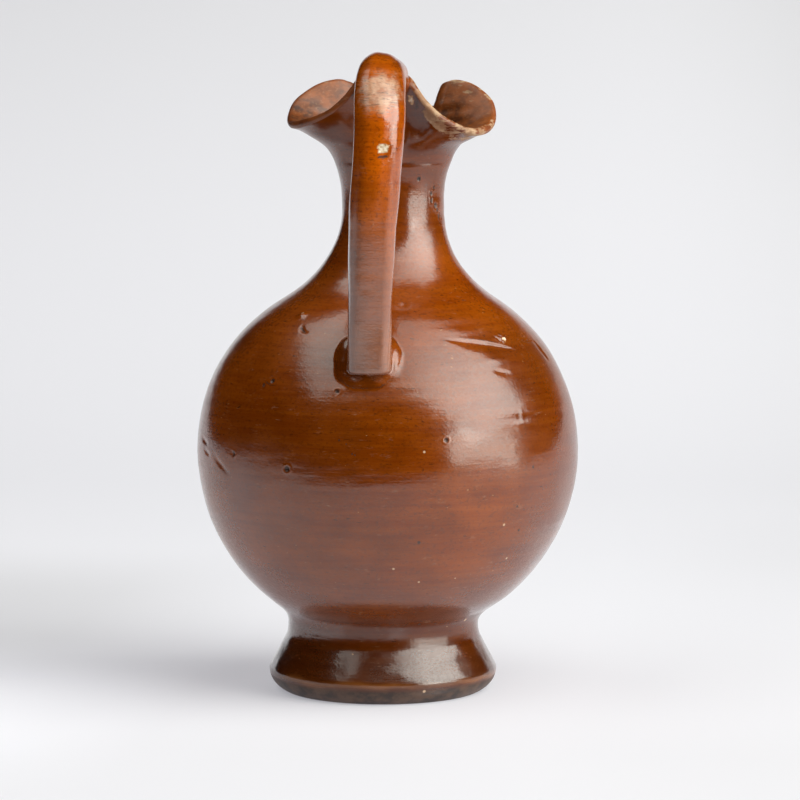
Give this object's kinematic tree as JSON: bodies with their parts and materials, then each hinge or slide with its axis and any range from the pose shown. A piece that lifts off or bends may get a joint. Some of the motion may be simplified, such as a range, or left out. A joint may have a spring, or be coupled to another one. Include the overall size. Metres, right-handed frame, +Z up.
{
  "type": "trefoil-mouth ewer",
  "caption": "Hollow glazed pottery ewer with a pinched trefoil mouth, waisted neck, egg-shaped body, spreading foot and a strap handle arched from rim to shoulder.",
  "frame": {"origin": "centre of the flat underside of the foot", "axes": "+Z up through the mouth; -Y towards the handle, so +Y is the way the spout pours; +X to the right when the handle faces the viewer"},
  "size_m": [0.1298, 0.1371, 0.2171],
  "materials": {
    "amber_glaze": "amber-brown lead glaze, glossy, worn through to buff clay along the rim, on the handle and at the foot"
  },
  "bodies": {
    "root": {"ewer": "amber_glaze"}
  },
  "joints": []
}
